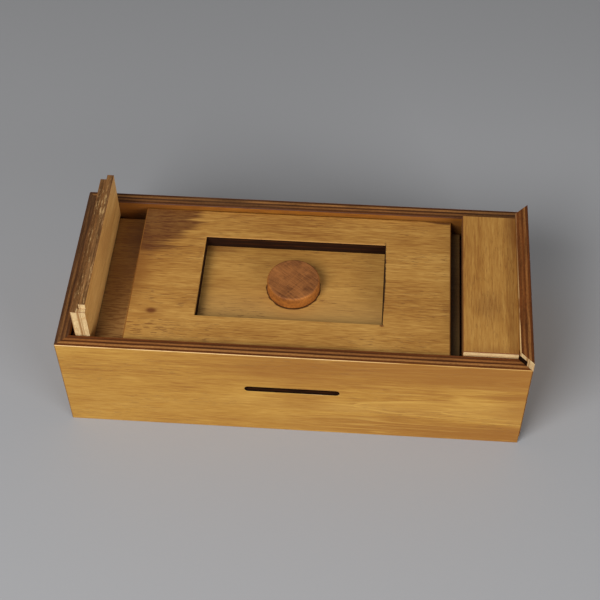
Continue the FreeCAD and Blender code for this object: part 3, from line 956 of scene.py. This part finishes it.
class PUZZLEBOX_OT_end_boards(bpy.types.Operator):
    """Make the fixed left wall and the end panel that slides up"""

    bl_idname = "puzzle_box.end_boards"
    bl_label = "Left Wall and End Panel"

    def execute(self, context):
        self.make("left_wall", LEFT, "box", plain=0.55, brown="edge_worn")
        self.make("end_panel", RIGHT, "sliding_end", plain=0.3, brown="edge_mid")
        return {"FINISHED"}

    def make(self, node, end, body, plain, brown):
        """An end board with mitred ends, grooved for its strip's tongue and for the splines."""
        size = sizes()
        low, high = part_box(node)
        board, layers = mitred_board(node, X_AXIS, end)
        name, (_, outer, inner) = board.name, layers
        spline_low, spline_high = (corner.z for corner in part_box("front_left_spline"))
        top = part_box("lid_frame")[1].z
        play = 0.0
        if end == RIGHT:
            top += size.panel_raise
            play = size.spline_play
            spline_low += size.panel_raise - size.panel_travel - play
            spline_high += size.panel_raise + play
        floor = top - size.tongue_thickness - size.tongue_play
        depth = size.tongue_length + size.tongue_play
        rout_groove(board, layers, depth, floor, top + size.tongue_play)
        if end == LEFT:
            rout_bottom_groove(board, layers)
        for side in (FRONT, BACK):
            rout(board, *spline_corners(end, side, spline_low, spline_high, play))
        clean(board)

        face = stained_face(
            f"{name}_stained_face",
            Y_AXIS,
            WALL_STAIN,
            (0.0, 0.47, 0.21),
            figure=grows(Y_AXIS, -40, 40, 0.5),
            pores=0.2,
            dashed=0.15,
        )
        inside = stained_face(f"{name}_inner_face", Y_AXIS, INSIDE_STAIN, (0.3, 0.1, 0.6))
        edge = stained_edge(f"{name}_ply_edge", layers, Y_AXIS, plain, 0.0, brown)
        # Painted shade: the tongue groove's faces get a near-black finish, so that its open end shows as a
        # shaded hole.
        groove = char_and_shade_edge(f"{name}_shaded_groove", layers, Y_AXIS)
        mitre = bare_edge(f"{name}_bare_mitre", layers, Z_AXIS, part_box("front_wall")[1].z)
        dress(
            board,
            (face, either(flat_at(X_AXIS, outer), is_eased)),
            (inside, flat_at(X_AXIS, inner)),
            (edge, flat_at(Z_AXIS, low.z, high.z)),
            (groove, either(flat_at(X_AXIS), flat_at(Z_AXIS))),
            (mitre, anything),
        )
        soft = (face, inside, edge)
        if end == RIGHT:
            lip = worn_edge(f"{name}_pale_lip", Y_AXIS, "edge_mid", 0.85, (-30, 15))
            soften(board, soft, worn=lip, where=on_line(x=inner, z=high.z))
        soften(board, soft, worn=worn_edge(f"{name}_worn_edge", Y_AXIS, "edge_dark", 0.2))
        hand_over(board, node, body)


class PUZZLEBOX_OT_bottom(bpy.types.Operator):
    """Make the bottom board that lies in the walls' grooves"""

    bl_idname = "puzzle_box.bottom"
    bl_label = "Bottom Board"

    def execute(self, context):
        low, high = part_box("bottom_panel")
        board = add_block("bottom_board", low, high)
        face = bare_face("bottom_board_bare_face", X_AXIS, (0.2, 0.4, 0.0))
        edge = bare_edge("bottom_board_bare_edge", (Z_AXIS, low.z, high.z), X_AXIS)
        dress(board, (face, flat_at(Z_AXIS)), (edge, anything))
        soften(board, (face, edge))
        hand_over(board, "bottom_panel", "box")
        return {"FINISHED"}


class PUZZLEBOX_OT_rails(bpy.types.Operator):
    """Make the two battens that carry the lid"""

    bl_idname = "puzzle_box.rails"
    bl_label = "Lid Rails"

    def execute(self, context):
        for node in ("front_rail", "back_rail"):
            low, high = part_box(node)
            rail = add_block(f"{node}_batten", low, high)
            face = stained_face(f"{node}_stained_face", X_AXIS, RAIL_STAIN, (0.5, 0.1, 0.3))
            end = bare_edge(f"{node}_bare_end", (Y_AXIS, low.y, high.y), Z_AXIS)
            dress(rail, (end, flat_at(X_AXIS)), (face, anything))
            soften(rail, (face, end))
            hand_over(rail, node, "box")
        return {"FINISHED"}


class PUZZLEBOX_OT_splines(bpy.types.Operator):
    """Make the splines in the four mitres; the right pair guide the end panel"""

    bl_idname = "puzzle_box.splines"
    bl_label = "Mitre Splines"

    def execute(self, context):
        finish = bare_face("spline_bare_face", Z_AXIS, (0.1, 0.2, 0.3))
        for node, end, side in (
            ("front_left_spline", LEFT, FRONT),
            ("back_left_spline", LEFT, BACK),
            ("front_guide_spline", RIGHT, FRONT),
            ("back_guide_spline", RIGHT, BACK),
        ):
            low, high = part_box(node)
            spline = add_block(f"{node}_key", *spline_corners(end, side, low.z, high.z))
            dress(spline, (finish, anything))
            soften(spline, (finish,), sizes().spline_softening)
            hand_over(spline, node, "box")
        return {"FINISHED"}


def make_strip(node, tongue, layer):
    """A strip with a tongue on one axis, as thin as half the strip on another, notched in front."""
    size = sizes()
    low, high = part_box(node)
    shoulder = high[tongue] - size.tongue_length
    half_way = high[layer] - size.tongue_thickness
    up, through = Vector(), Vector()
    up[tongue], through[layer] = 1.0, 1.0
    strip = add_block(f"{node}_board", low, high - up * size.tongue_length)
    bisect(strip, through * half_way, through)
    with editing(strip):
        mesh = bmesh.from_edit_mesh(strip.data)
        for face in mesh.faces:
            above = face.calc_center_median()[layer] > half_way
            face.select_set(face.normal[tongue] > SQUARE_ON and above)
        bmesh.update_edit_mesh(strip.data)
        bpy.ops.mesh.extrude_region_move(TRANSFORM_OT_translate={"value": up * size.tongue_length})
    past = Vector((OVERSHOOT, OVERSHOOT, OVERSHOOT))
    notch_low, notch_high = low - past, high + past
    notch_low[tongue] = shoulder
    notch_low[layer] = half_way - OVERSHOOT
    notch_high.y = low.y + size.tongue_notch
    rout(strip, notch_low, notch_high)
    clean(strip)
    return strip, low, high


def finish_strip(strip, layers, tones, marks, plain, chips, is_end, node, body):
    """Stains a strip's faces and edges, leaves its ends bare and rubs its edges."""
    name, (layer, outer, inner) = strip.name, layers
    run = Z_AXIS if layer == X_AXIS else X_AXIS
    shift = (0.17, 0.05, 0.4)
    face = stained_face(
        f"{name}_stained_face", Y_AXIS, tones, shift, marks, pores=0.3, dashed=0.35
    )
    edge = stained_edge(f"{name}_ply_edge", layers, Y_AXIS, plain, chips, "strip_edge")
    end = bare_edge(f"{name}_bare_end", layers, run)
    dress(strip, (face, flat_at(layer, outer, inner)), (end, is_end), (edge, anything))
    width = sizes().strip_softening
    if chips:
        soften(strip, (end,), width)
    worn = worn_edge(f"{name}_worn_edge", Y_AXIS, "edge_mid", 0.3)
    soften(strip, (face, edge, end), width, worn)
    hand_over(strip, node, body)


class PUZZLEBOX_OT_strips(bpy.types.Operator):
    """Make the strip on the end panel and the loose lock strip that stands in the pocket"""

    bl_idname = "puzzle_box.strips"
    bl_label = "End Strip and Lock Strip"

    def execute(self, context):
        strip, low, high = make_strip("end_strip", X_AXIS, Z_AXIS)
        right, front, back = high.x / MM, low.y / MM, high.y / MM
        marks = (
            tinted("lid_dark", 0.18),
            tinted("knot", 0.15, x=(right, 7.4)),
            tinted("knot", 0.3, 0.5, x=(right, 8), y=(back, 34)),
            tinted("knot", 0.35, 1.0, x=(74, 10), y=(-12, 11)),
            tinted("knot", 0.3, 0.9, x=(77, 16), y=(front, 5)),
        )
        layers, is_end = (Z_AXIS, high.z, low.z), flat_at(Y_AXIS, low.y, high.y)
        finish_strip(strip, layers, LID_STAIN, marks, 0.3, 0.0, is_end, "end_strip", "sliding_end")

        strip, low, high = make_strip("lock_strip", Z_AXIS, X_AXIS)
        marks = (
            # Painted shade: a dark band along the strip's lower edge stands in for its contact shadow on
            # the lid panel.
            tinted("edge_dark", 0.75, 0.5, 0.3, z=(low.z / MM, 0.9)),
            tinted("strip_dark", 0.5, 1.0, 1.0, y=(9, 22), z=(57, 9)),
        )
        layers, notch = (X_AXIS, high.x, low.x), low.y + sizes().tongue_notch
        is_bare = either(flat_at(Y_AXIS), lambda n, c: c.y < notch)
        finish_strip(strip, layers, STRIP_STAIN_AND_FILL_LIGHT, marks, 0.6, 0.17, is_bare, "lock_strip", "loose_strip")
        return {"FINISHED"}


class PUZZLEBOX_OT_lid_frame(bpy.types.Operator):
    """Make the lid's top board with its window"""

    bl_idname = "puzzle_box.lid_frame"
    bl_label = "Lid Frame"

    def execute(self, context):
        size = sizes()
        low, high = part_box("lid_frame")
        middle = (low + high) / 2
        board = add_block("lid_frame_board", low, high)
        half = Vector((size.window_length / 2, size.window_width / 2, 0.0))
        past = Vector((0.0, 0.0, high.z - middle.z + OVERSHOOT))
        rout(board, middle - half - past, middle + half + past)
        clean(board)
        left, back = low.x / MM, high.y / MM
        window_right, window_front = (middle.x + half.x) / MM, -half.y / MM
        marks = (
            # Painted shadow of the lock strip on the lid frame's left margin.
            tinted("lid_dark", 0.75, 0.9, 0.8, x=(left, 10), y=(2, 32)),
            tinted("heartwood", 0.97, 0.24, 0.85, 0.26, x=(left, 25), y=(back, 26)),
            tinted("lid_dark", 0.5, 0.9, x=(-56, 9), y=(-19, 4)),
            tinted("knot", 0.95, 0.7, 0.5, x=(-56, 3.2), y=(-19, 1.9)),
            tinted("knot", 0.72, 0.5, 0.6, 1.0, x=(-56, 17), y=(-27, 6)),
            tinted("edge_dark", 0.9, 0.5, 0.8, x=(57, 10), y=(back, 2)),
            tinted("charred", 0.9, 0.4, 0.9, x=(window_right, 0.9), y=(0, 24)),
            tinted("knot", 0.9, 0.7, x=(window_right, 1.3), y=(window_front - 0.4, 0.9)),
        )
        layers = (Z_AXIS, high.z, low.z)
        face = stained_face("lid_frame_stained_face", X_AXIS, LID_STAIN, (0.1, 0.3, 0.0), marks)
        edge = stained_edge("lid_frame_ply_edge", layers, X_AXIS, 0.3)
        window = char_and_shade_edge("lid_frame_charred_window", layers, X_AXIS)

        def is_in_window(normal, place):
            across = abs(place.x - middle.x) < OVER_HALF * size.window_length
            return across and abs(place.y) < OVER_HALF * size.window_width

        dress(board, (face, flat_at(Z_AXIS)), (window, is_in_window), (edge, anything))
        rubbed = worn_edge("lid_frame_rubbed_arris", X_AXIS, "lid_mid", 0.3)
        soften(board, (face, window), size.rim_softening, rubbed, on_line(z=high.z))
        finishes = board.data.materials
        for side in board.data.polygons:
            faces_left = side.normal.x < -0.1
            if finishes[side.material_index] == rubbed and faces_left:
                side.material_index = finishes.find(window.name)
        worn = worn_edge("lid_frame_worn_edge", X_AXIS, "lid_dark", 0.1)
        soften(board, (face, edge), size.frame_softening, worn)
        hand_over(board, "lid_frame", "lid")
        return {"FINISHED"}


def screw_profile(play=0.0, threads=False):
    """Radius and height of the screw's outline, from its head up to its point."""
    size = sizes()
    low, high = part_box("knob_screw")
    shank = size.screw_diameter / 2 + play
    root = THREAD_ROOT * shank if threads else shank
    head = (high.x - low.x) / 2 + play
    neck = low.z + head - shank
    point = high.z - size.screw_tip + play
    outline = [(head, low.z), (shank, neck)]
    if threads:
        pitch = size.screw_pitch
        for turn in range(int((point - neck) / pitch)):
            foot = neck + turn * pitch
            outline += [(root, foot + 0.35 * pitch), (shank, foot + pitch)]
    return outline + [(root, point + 0.05 * MM), (0.0, high.z + play)]


def turn_up(name, centre, outline):
    """Turns an outline on the upright axis: a ring is drawn up and resized from point to point.

    A last radius of zero closes the ring to a tip.
    """
    (radius, height), *rest = outline
    bpy.ops.object.select_all(action="DESELECT")
    bpy.ops.mesh.primitive_circle_add(
        vertices=SCREW_FACETS,
        radius=radius,
        fill_type="NGON",
        location=(centre.x, centre.y, height),
    )
    piece = settle(name)
    with editing(piece, "EDGE"):
        bpy.ops.mesh.select_all(action="SELECT")
        bpy.ops.mesh.select_mode(type="FACE")
        for next_radius, next_height in rest:
            rise = (0.0, 0.0, next_height - height)
            bpy.ops.mesh.extrude_region_move(TRANSFORM_OT_translate={"value": rise})
            if not next_radius:
                bpy.ops.mesh.merge(type="CENTER")
                break
            factor = next_radius / radius
            bpy.ops.transform.resize(
                value=(factor, factor, 1.0), center_override=(centre.x, centre.y, next_height)
            )
            radius, height = next_radius, next_height
        bpy.ops.mesh.select_all(action="SELECT")
        bpy.ops.mesh.normals_make_consistent(inside=False)
    return piece


def knob_axis():
    low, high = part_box("knob")
    return (low + high) / 2


def drill(piece):
    """Cuts the countersunk hole of the knob's screw."""
    cut_away(piece, turn_up("hole_cutter", knob_axis(), screw_profile(sizes().screw_play)))
    clean(piece)


class PUZZLEBOX_OT_lid_panel(bpy.types.Operator):
    """Make the board under the lid frame, with the countersunk hole of the knob's screw"""

    bl_idname = "puzzle_box.lid_panel"
    bl_label = "Lid Panel"

    def execute(self, context):
        low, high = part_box("lid_panel")
        board = add_block("lid_panel_board", low, high)
        drill(board)
        left, right, front = low.x / MM, high.x / MM, low.y / MM
        skin = (high.z / MM, 2)
        pocket_end, frame_end = (corner.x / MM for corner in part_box("lid_frame"))
        axis = knob_axis() / MM
        knob_low, knob_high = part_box("knob")
        # Reach of the painted shade ring beyond the knob's foot.
        shade_ring_margin = 0.55
        foot = (knob_high.x - knob_low.x) / 2 / MM + shade_ring_margin
        marks = (
            tinted("lid_light", 0.15),
            # Painted light: the panel is lightened towards its front, against the frame's shadow along the
            # window's front edge.
            tinted("strip_light", 0.55, 0.8, 0.3, y=(front, 36)),
            # A dark smear in the window's back left corner, partly stain and partly painted shade.
            tinted("knot", 0.5, 0.9, 0.5, x=(-37, 17), y=(19, 6), z=skin),
            tinted("pocket", 0.85, 0.1, 0.1, 0.45, x=(left, pocket_end - left), z=skin),
            # Painted shadow on the pocket's floor along the lid frame's left edge, towards its back.
            tinted("edge_dark", 0.75, 0.9, 0.3, x=(pocket_end, 10), y=(24, 30), z=skin),
            # Painted shade on the panel's right end, which lies in the dark gap beside the end strip.
            tinted("charred", 0.78, 0.1, 0.1, x=(right, right - frame_end + 0.3), z=skin),
            # Painted shade: a dark ring round the knob's foot stands in for its contact shadow.
            tinted("edge_dark", 0.95, 0.03, 0.16, x=(axis.x, foot), y=(axis.y, foot), z=skin),
        )
        layers = (Z_AXIS, high.z, low.z)
        face = stained_face("lid_panel_stained_face", X_AXIS, LID_STAIN, (0.6, 0.2, 0.0), marks)
        edge = stained_edge("lid_panel_ply_edge", layers, X_AXIS)
        hole = bare_edge("lid_panel_bare_hole", layers, Z_AXIS)

        def is_side(normal, place):
            return near(place.x, low.x, high.x) or near(place.y, low.y, high.y)

        dress(board, (face, flat_at(Z_AXIS)), (edge, is_side), (hole, anything))
        soften(board, (face, edge), sizes().strip_softening)
        hand_over(board, "lid_panel", "lid")
        return {"FINISHED"}


class PUZZLEBOX_OT_knob(bpy.types.Operator):
    """Turn the round knob"""

    bl_idname = "puzzle_box.knob"
    bl_label = "Knob"

    def execute(self, context):
        low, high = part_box("knob")
        size, axis = sizes(), knob_axis()
        bpy.ops.object.select_all(action="DESELECT")
        bpy.ops.mesh.primitive_cylinder_add(
            vertices=KNOB_FACETS,
            radius=(high.x - low.x) / 2,
            depth=high.z - low.z,
            location=axis,
        )
        knob = settle("knob_turning")
        for level, width, steps in (
            (high.z, size.knob_round, KNOB_ROUND_STEPS),
            (low.z, size.knob_foot, EDGE_STEPS),
        ):
            with editing(knob, "EDGE"):
                pick_edges(knob, lambda edge: all(near(vert.co.z, level) for vert in edge.verts))
                bpy.ops.mesh.bevel(offset=width, segments=steps, profile=0.5, affect="EDGES")
        drill(knob)
        x, y = axis.x / MM, axis.y / MM
        smudges = [
            tinted("edge_dark", 0.6, 1.0, x=(x + aside, 2.4), y=(y - 5, 1.5)) for aside in (-0.5, 5)
        ]
        top = knob_finish("knob_turned_top", axis, ("knob_light", "knob_dark"), smudges)
        # The rim tones are partly painted light, brighter than the top for how the side is lit.
        rim = knob_finish("knob_turned_rim", axis, ("rim_light", "rim_dark"))
        # Painted shade: the knob's downward faces are near black to stand in for the shadow gap at its
        # foot.
        foot = char_and_shade_edge("knob_shaded_foot", (Z_AXIS, high.z, low.z), X_AXIS)
        faces_up, faces_down = (lambda n, c: n.z > 0.8), (lambda n, c: n.z < -0.2)
        dress(knob, (top, faces_up), (foot, faces_down), (rim, anything))
        hand_over(knob, "knob", "lid")
        return {"FINISHED"}


class PUZZLEBOX_OT_knob_screw(bpy.types.Operator):
    """Turn the knob's countersunk wood screw and cut the cross in its head"""

    bl_idname = "puzzle_box.knob_screw"
    bl_label = "Knob Screw"

    def execute(self, context):
        low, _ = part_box("knob_screw")
        axis = knob_axis()
        screw = turn_up("knob_screw_turning", axis, screw_profile(threads=True))
        long, thin, deep = 1.7 * MM, 0.4 * MM, 1.1 * MM
        for arm_x, arm_y in ((long, thin), (thin, long)):
            rout(
                screw,
                (axis.x - arm_x, axis.y - arm_y, low.z - OVERSHOOT),
                (axis.x + arm_x, axis.y + arm_y, low.z + deep),
            )
        clean(screw)
        dress(screw, (steel_finish("knob_screw_zinc", axis), anything))
        hand_over(screw, "knob_screw", "lid")
        return {"FINISHED"}


# Studio

FLOOR_SIZE = 8.0
KEY_LAMP = ((-0.45, -0.71, 0.80), 0.60, 0.60)
SIDE_LAMP = ((0.72, -0.75, 0.34), 0.60, 0.45)
LAMP_AIM = Vector((0.0, 0.0, 0.03))
ROOM_TONE = (1.0, 0.98, 0.95, 1.0)
CAMERA_PLACE = Vector((0.02932, -0.32800, 0.44698))
CAMERA_AIM = Vector((-0.00040, 0.00755, 0.0247))
CAMERA_ROLL = math.radians(-1.03)
SENSOR_WIDTH = 36.0
CLIP_START = 0.01


def add_softbox(name, place, width, height, power):
    bpy.ops.object.light_add(type="AREA", location=place)
    lamp = bpy.context.object
    lamp.name = name
    lamp.data.name = name
    lamp.data.shape = "RECTANGLE"
    lamp.data.size = width
    lamp.data.size_y = height
    lamp.data.energy = power
    lamp.rotation_euler = (LAMP_AIM - Vector(place)).to_track_quat("-Z", "Y").to_euler()


class PUZZLEBOX_OT_studio(bpy.types.Operator):
    """Lay the grey floor and set up the soft lamps and the camera"""

    bl_idname = "puzzle_box.studio"
    bl_label = "Studio"

    def execute(self, context):
        scene, studio = context.scene, context.scene.puzzle_box_studio
        scene.view_settings.view_transform = "Standard"
        self.lay_floor()
        add_softbox("key_softbox", *KEY_LAMP, studio.key_power)
        add_softbox("side_softbox", *SIDE_LAMP, studio.side_power)
        world = bpy.data.worlds.new("pale_room")
        world.use_nodes = True
        sky = world.node_tree.nodes["Background"]
        sky.inputs["Color"].default_value = ROOM_TONE
        sky.inputs["Strength"].default_value = studio.surround
        scene.world = world
        self.set_camera(scene, studio.lens)
        return {"FINISHED"}

    @staticmethod
    def lay_floor():
        bpy.ops.object.select_all(action="DESELECT")
        bpy.ops.mesh.primitive_plane_add(size=FLOOR_SIZE, location=(0.0, 0.0, 0.0))
        floor = settle("studio_floor")
        floor.data.materials.append(floor_finish("floor_matt_grey"))

    @staticmethod
    def set_camera(scene, lens):
        bpy.ops.object.camera_add(location=CAMERA_PLACE)
        camera = bpy.context.object
        camera.name = "photo_camera"
        camera.data.sensor_width = SENSOR_WIDTH
        camera.data.lens = lens
        camera.data.clip_start = CLIP_START
        turn = (CAMERA_AIM - CAMERA_PLACE).to_track_quat("-Z", "Y")
        camera.rotation_mode = "QUATERNION"
        camera.rotation_quaternion = turn @ Quaternion((0.0, 0.0, 1.0), CAMERA_ROLL)
        scene.camera = camera


GROUPS = {
    "puzzle_box_sizes": PuzzleBoxSizes,
    "puzzle_box_finishes": PuzzleBoxFinishes,
    "puzzle_box_studio": PuzzleBoxStudio,
}
STEPS = (
    PUZZLEBOX_OT_long_walls,
    PUZZLEBOX_OT_end_boards,
    PUZZLEBOX_OT_bottom,
    PUZZLEBOX_OT_rails,
    PUZZLEBOX_OT_splines,
    PUZZLEBOX_OT_strips,
    PUZZLEBOX_OT_lid_frame,
    PUZZLEBOX_OT_lid_panel,
    PUZZLEBOX_OT_knob,
    PUZZLEBOX_OT_knob_screw,
    PUZZLEBOX_OT_studio,
)


class PUZZLEBOX_PT_sidebar(bpy.types.Panel):
    """Lists the steps that build the puzzle box, and its sizes and colours"""

    bl_idname = "PUZZLEBOX_PT_sidebar"
    bl_label = "Wooden Puzzle Box"
    bl_space_type = "VIEW_3D"
    bl_region_type = "UI"
    bl_category = "Puzzle Box"

    def draw(self, context):
        column = self.layout.column(align=True)
        for step in STEPS:
            column.operator(step.bl_idname)
        for name, group in GROUPS.items():
            box = self.layout.box().column()
            for setting in group.__annotations__:
                box.prop(getattr(context.scene, name), setting)


def register():
    for name, group in GROUPS.items():
        bpy.utils.register_class(group)
        setattr(bpy.types.Scene, name, PointerProperty(type=group))
    for step in STEPS:
        bpy.utils.register_class(step)
    bpy.utils.register_class(PUZZLEBOX_PT_sidebar)


def unregister():
    bpy.utils.unregister_class(PUZZLEBOX_PT_sidebar)
    for step in reversed(STEPS):
        bpy.utils.unregister_class(step)
    for name, group in GROUPS.items():
        delattr(bpy.types.Scene, name)
        bpy.utils.unregister_class(group)


def main():
    register()
    bpy.ops.puzzle_box.long_walls()
    bpy.ops.puzzle_box.end_boards()
    bpy.ops.puzzle_box.bottom()
    bpy.ops.puzzle_box.rails()
    bpy.ops.puzzle_box.splines()
    bpy.ops.puzzle_box.strips()
    bpy.ops.puzzle_box.lid_frame()
    bpy.ops.puzzle_box.lid_panel()
    bpy.ops.puzzle_box.knob()
    bpy.ops.puzzle_box.knob_screw()
    bpy.ops.puzzle_box.studio()


if __name__ == "__main__":
    main()
